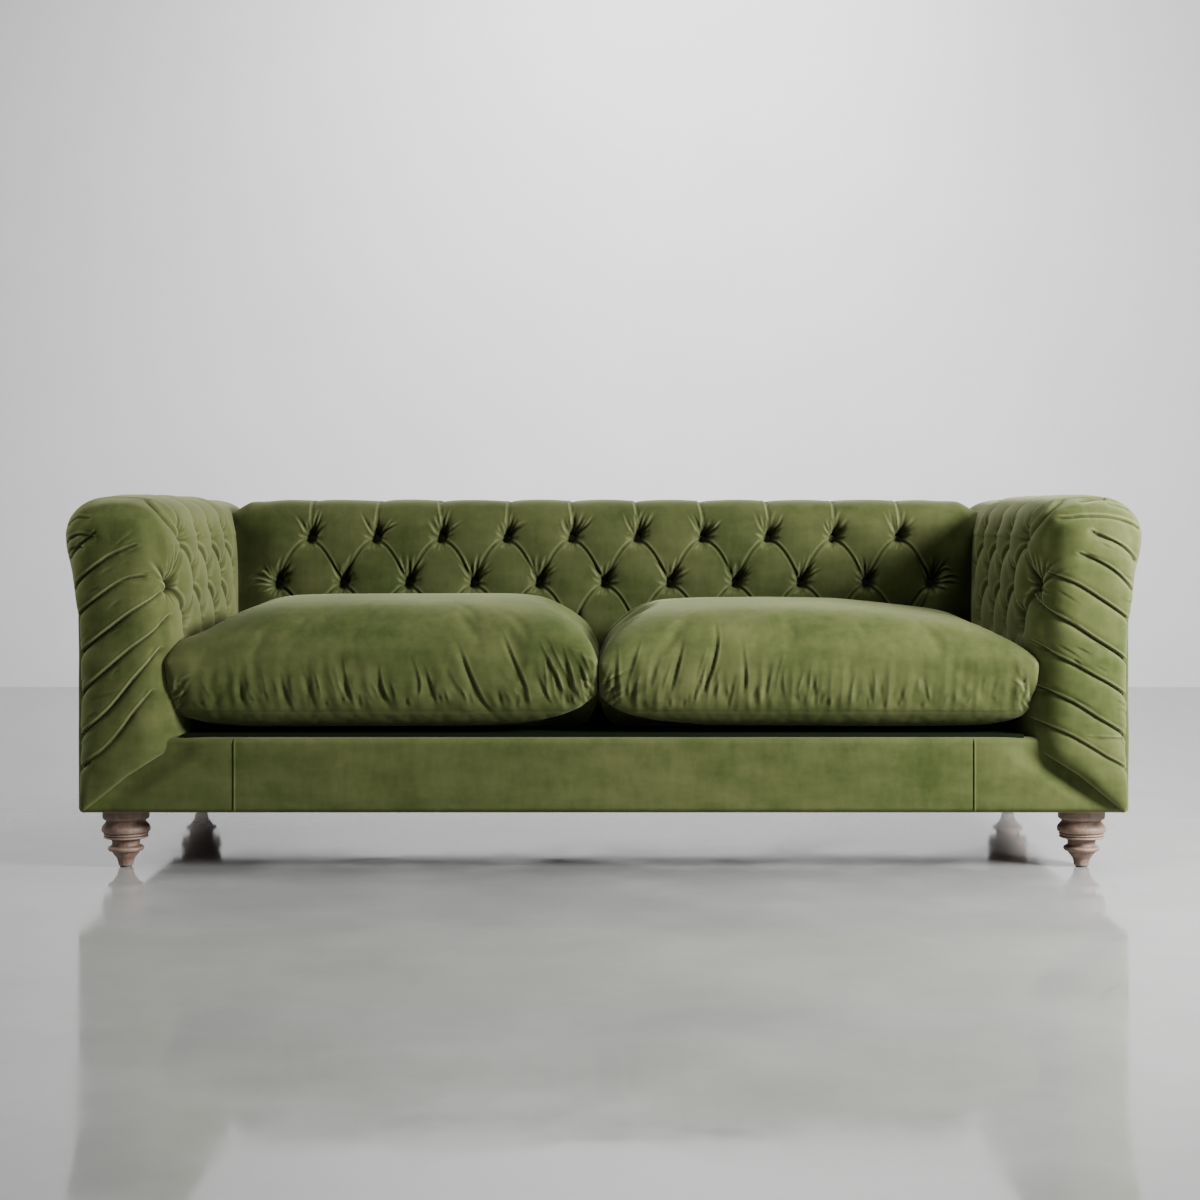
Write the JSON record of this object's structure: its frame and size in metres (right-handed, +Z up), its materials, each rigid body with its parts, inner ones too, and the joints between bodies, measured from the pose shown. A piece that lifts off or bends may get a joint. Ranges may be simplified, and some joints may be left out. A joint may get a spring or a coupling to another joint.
{
  "type": "tufted sofa",
  "caption": "Straight-backed, deep-buttoned velvet sofa with two loose seat cushions, pleated scroll arms and turned wooden feet.",
  "frame": {"origin": "on the floor, under the centre of the sofa's bounding box", "axes": "+Z up, -Y to the front where a person sits, +X to the right as seen from the front"},
  "size_m": [2.184, 0.95, 0.758],
  "materials": {
    "velvet": "olive green cotton velvet, short nap",
    "filling": "feather-wrapped foam, matt",
    "lining": "plain woven lining, matt",
    "frame_wood": "sawn beech, unfinished",
    "foot_wood": "bleached brown, soft sheen",
    "steel": "plain spring steel",
    "glide_plastic": "matt"
  },
  "bodies": {
    "sofa": {"front_rail": "frame_wood", "rear_rail": "frame_wood", "side_rail_left": "frame_wood", "side_rail_right": "frame_wood", "seat_rear_rail": "frame_wood", "seat_cross_rail": "frame_wood", "arm_post_front_left": "frame_wood", "arm_post_front_right": "frame_wood", "arm_post_rear_left": "frame_wood", "arm_post_rear_right": "frame_wood", "arm_top_rail_left": "frame_wood", "arm_top_rail_right": "frame_wood", "arm_tacking_rail_left": "frame_wood", "arm_tacking_rail_right": "frame_wood", "back_top_rail": "frame_wood", "back_tacking_rail": "frame_wood", "back_upright_left": "frame_wood", "back_upright_centre": "frame_wood", "back_upright_right": "frame_wood", "corner_blocks": "frame_wood", "frame_dowels": "frame_wood", "frame_screws": "steel", "seat_springs": "steel", "spring_clips": "steel", "hanger_bolts": "steel", "tee_nuts": "steel", "back_pad": "velvet", "arm_pad_left": "velvet", "arm_pad_right": "velvet", "back_buttons": "velvet", "arm_buttons_left": "velvet", "arm_buttons_right": "velvet", "front_border": "velvet", "outside_arm_panel_left": "velvet", "outside_arm_panel_right": "velvet", "outside_back_panel": "velvet", "seat_platform": "lining", "back_webbing": "lining", "dust_cover": "lining", "foot_front_left": "foot_wood", "foot_front_right": "foot_wood", "foot_rear_left": "foot_wood", "foot_rear_right": "foot_wood", "foot_glides": "glide_plastic"},
    "cushion_left": {"seat_cushion_left": "velvet", "cushion_core_left": "filling"},
    "cushion_right": {"seat_cushion_right": "velvet", "cushion_core_right": "filling"}
  },
  "joints": [
    {"name": "lift_cushion_left", "type": "slide", "parent": "sofa", "child": "cushion_left", "axis": [0, 0, 1], "range_m": [0, 0.3]},
    {"name": "lift_cushion_right", "type": "slide", "parent": "sofa", "child": "cushion_right", "axis": [0, 0, 1], "range_m": [0, 0.3]}
  ]
}
